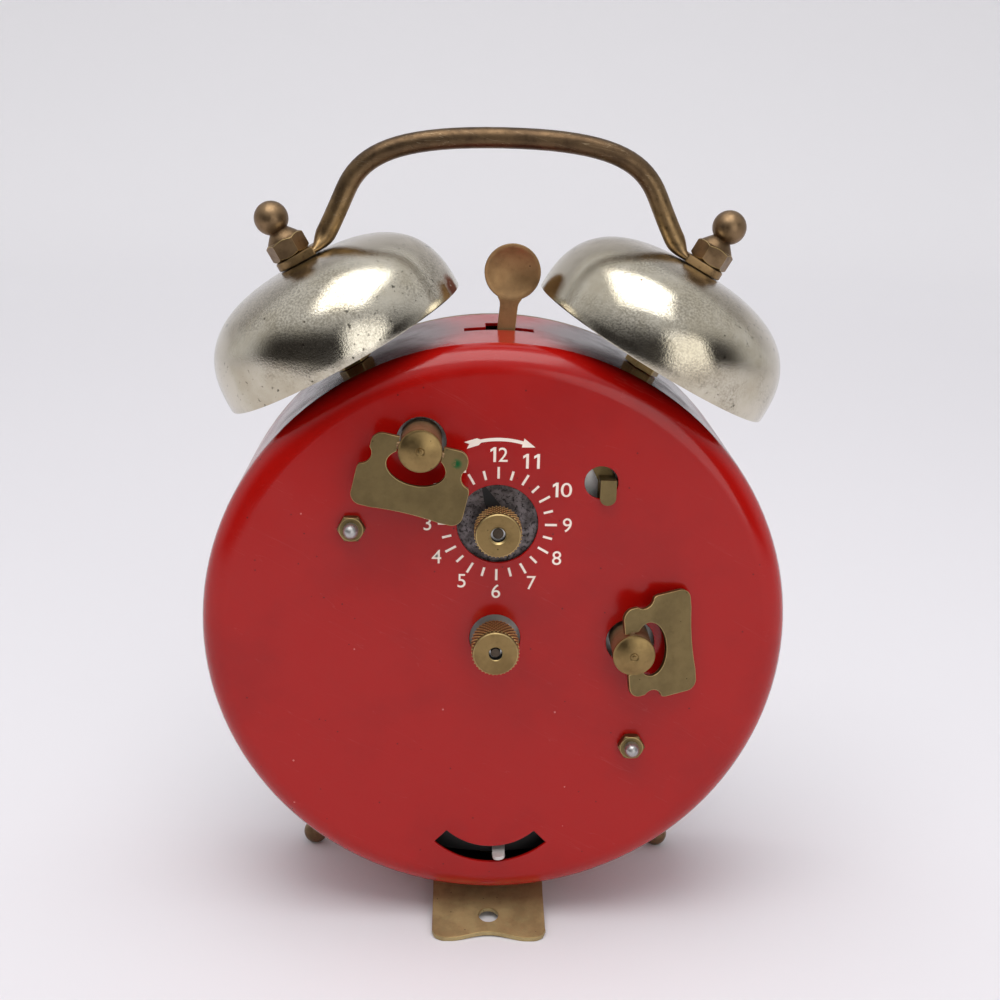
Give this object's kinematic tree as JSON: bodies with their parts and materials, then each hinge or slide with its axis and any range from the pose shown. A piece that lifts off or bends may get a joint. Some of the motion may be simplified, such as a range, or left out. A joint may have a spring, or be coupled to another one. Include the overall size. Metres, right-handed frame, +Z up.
{
  "type": "twin bell alarm clock",
  "caption": "Wind-up alarm clock: red drum on splayed feet, bells and a bail handle on top, keys and setting knobs on the back, spring-driven movement inside.",
  "frame": {"origin": "on the table under the middle of the clock", "axes": "+Z up, the dial faces -Y, the back with its keys faces +Y"},
  "size_m": [0.108, 0.0498, 0.1499],
  "materials": {
    "red_enamel": "gloss enamel, worn",
    "nickel": "old nickel plate, pitted",
    "brass": "tarnished brass",
    "bronze": "brown lacquered brass",
    "steel": "plain steel",
    "blued_steel": "blued spring steel",
    "dial_paint": "matt cream paint",
    "hand_paint": "satin black paint",
    "lens": "clear domed glass"
  },
  "bodies": {
    "clock_body": {"case_drum": "red_enamel", "front_bezel": "brass", "lens": "lens", "lens_spacer_ring": "dial_paint", "dial_plate": "dial_paint", "left_bell": "nickel", "right_bell": "nickel", "left_bell_post": "brass", "right_bell_post": "brass", "acorn_nuts": "bronze", "post_nuts": "steel", "handle": "bronze", "front_feet": "bronze", "rear_foot": "brass", "rear_foot_rivet": "brass", "movement_studs": "steel", "case_nuts": "brass", "front_plate": "brass", "back_plate": "brass", "pillars": "brass", "pillar_nuts": "steel", "going_mainspring": "blued_steel", "alarm_mainspring": "blued_steel", "hairspring": "blued_steel", "balance_bearings": "steel", "minute_wheel_stud": "steel", "alarm_stop_screw": "steel"},
    "time_winding": {"time_winding_arbor": "steel", "time_ratchet_wheel": "steel", "time_key_stem": "brass"},
    "time_wing": {"time_key_wing": "brass"},
    "alarm_winding": {"alarm_winding_arbor": "steel", "alarm_ratchet_wheel": "steel", "alarm_key_stem": "brass"},
    "alarm_wing": {"alarm_key_wing": "brass"},
    "going_wheel": {"great_wheel": "brass"},
    "going_click": {"time_click": "steel"},
    "alarm_going_wheel": {"alarm_great_wheel": "brass"},
    "alarm_going_click": {"alarm_click": "steel"},
    "centre_group": {"centre_arbor": "steel", "centre_wheel": "brass", "time_set_knob": "brass", "cannon_pinion": "steel", "minute_hand": "hand_paint"},
    "minute_group": {"minute_wheel": "brass"},
    "hour_group": {"hour_wheel": "brass", "hour_hand": "hand_paint"},
    "alarm_hour_group": {"alarm_wheel": "brass"},
    "alarm_setting": {"alarm_set_arbor": "steel", "alarm_pointer_disc": "steel", "alarm_set_knob": "brass"},
    "third_group": {"third_wheel": "brass"},
    "escape_group": {"escape_wheel": "brass"},
    "pallet_group": {"pallet_lever": "brass"},
    "balance_group": {"balance_wheel": "brass"},
    "regulator": {"regulator_lever": "nickel"},
    "star_group": {"alarm_star_wheel": "steel"},
    "hammer_group": {"hammer": "bronze", "hammer_arbor": "steel"},
    "alarm_stop": {"alarm_stop_lever": "brass"}
  },
  "joints": [
    {"name": "centre_turn", "type": "hinge", "parent": "clock_body", "child": "centre_group", "pos_m": [0, 0.0075, 0.06], "axis": [0, 1, 0], "continuous": true},
    {"name": "going_wheel_turn", "type": "hinge", "parent": "clock_body", "child": "going_wheel", "pos_m": [-0.0249, 0.0075, 0.0596], "axis": [0, 1, 0], "continuous": true},
    {"name": "third_turn", "type": "hinge", "parent": "clock_body", "child": "third_group", "pos_m": [0.01087, 0.0075, 0.05246], "axis": [0, 1, 0], "continuous": true},
    {"name": "escape_turn", "type": "hinge", "parent": "clock_body", "child": "escape_group", "pos_m": [0.0135, 0.0075, 0.041], "axis": [0, 1, 0], "continuous": true},
    {"name": "minute_wheel_turn", "type": "hinge", "parent": "clock_body", "child": "minute_group", "pos_m": [0.01292, -0.0075, 0.0553], "axis": [0, 1, 0], "continuous": true},
    {"name": "hour_turn", "type": "hinge", "parent": "clock_body", "child": "hour_group", "pos_m": [0, -0.0075, 0.06], "axis": [0, 1, 0], "continuous": true},
    {"name": "alarm_wheel_turn", "type": "hinge", "parent": "clock_body", "child": "alarm_hour_group", "pos_m": [0, -0.0075, 0.082], "axis": [0, 1, 0], "continuous": true},
    {"name": "time_winding_turn", "type": "hinge", "parent": "clock_body", "child": "time_winding", "pos_m": [-0.0249, 0.0075, 0.0596], "axis": [0, 1, 0], "continuous": true},
    {"name": "time_wing_fold", "type": "hinge", "parent": "time_winding", "child": "time_wing", "pos_m": [-0.0249, 0.02255, 0.0596], "axis": [-0.1219, 0, -0.9925], "range_deg": [0, 200]},
    {"name": "going_click_lift", "type": "hinge", "parent": "going_wheel", "child": "going_click", "pos_m": [-0.0148, 0.0045, 0.0596], "axis": [0, 1, 0], "range_deg": [0, 12], "stiffness_Nm_per_rad": 0.0002},
    {"name": "alarm_winding_turn", "type": "hinge", "parent": "clock_body", "child": "alarm_winding", "pos_m": [0.0137, 0.0075, 0.097], "axis": [0, 1, 0], "continuous": true},
    {"name": "alarm_wing_fold", "type": "hinge", "parent": "alarm_winding", "child": "alarm_wing", "pos_m": [0.0137, 0.02255, 0.097], "axis": [0.9744, 0, 0.225], "range_deg": [0, 180]},
    {"name": "alarm_great_turn", "type": "hinge", "parent": "clock_body", "child": "alarm_going_wheel", "pos_m": [0.0137, 0.0075, 0.097], "axis": [0, 1, 0], "continuous": true},
    {"name": "alarm_click_lift", "type": "hinge", "parent": "alarm_going_wheel", "child": "alarm_going_click", "pos_m": [0.0213, 0.0065, 0.097], "axis": [0, 1, 0], "range_deg": [0, 12], "stiffness_Nm_per_rad": 0.0002},
    {"name": "star_turn", "type": "hinge", "parent": "clock_body", "child": "star_group", "pos_m": [0.00202, 0.0075, 0.09228], "axis": [0, 1, 0], "continuous": true},
    {"name": "alarm_set_turn", "type": "hinge", "parent": "clock_body", "child": "alarm_setting", "pos_m": [0, 0.0075, 0.082], "axis": [0, 1, 0], "continuous": true},
    {"name": "hammer_swing", "type": "hinge", "parent": "clock_body", "child": "hammer_group", "pos_m": [0.00011, -0.001, 0.0978], "axis": [0, 1, 0], "range_deg": [-1.4, 11]},
    {"name": "balance_swing", "type": "hinge", "parent": "clock_body", "child": "balance_group", "pos_m": [0, 0.0075, 0.0289], "axis": [0, 1, 0], "range_deg": [-200, 200], "stiffness_Nm_per_rad": 0.000026},
    {"name": "pallet_swing", "type": "hinge", "parent": "clock_body", "child": "pallet_group", "pos_m": [0.008, 0.0055, 0.038], "axis": [0, 1, 0], "range_deg": [-4.5, 4.5]},
    {"name": "regulator_move", "type": "hinge", "parent": "clock_body", "child": "regulator", "pos_m": [0, 0.0149, 0.0289], "axis": [0, 1, 0], "range_deg": [-45, 30]},
    {"name": "alarm_stop_move", "type": "hinge", "parent": "clock_body", "child": "alarm_stop", "pos_m": [-0.0193, 0.0149, 0.076], "axis": [0, 1, 0], "range_deg": [0, 9]}
  ],
  "couplings": [
    {"joint": "going_wheel_turn", "follows": "centre_turn", "ratio": -0.16667},
    {"joint": "third_turn", "follows": "centre_turn", "ratio": -6},
    {"joint": "escape_turn", "follows": "centre_turn", "ratio": 36},
    {"joint": "minute_wheel_turn", "follows": "centre_turn", "ratio": -0.33333},
    {"joint": "hour_turn", "follows": "centre_turn", "ratio": 0.083333},
    {"joint": "alarm_wheel_turn", "follows": "centre_turn", "ratio": -0.083333},
    {"joint": "star_turn", "follows": "alarm_great_turn", "ratio": -6}
  ]
}
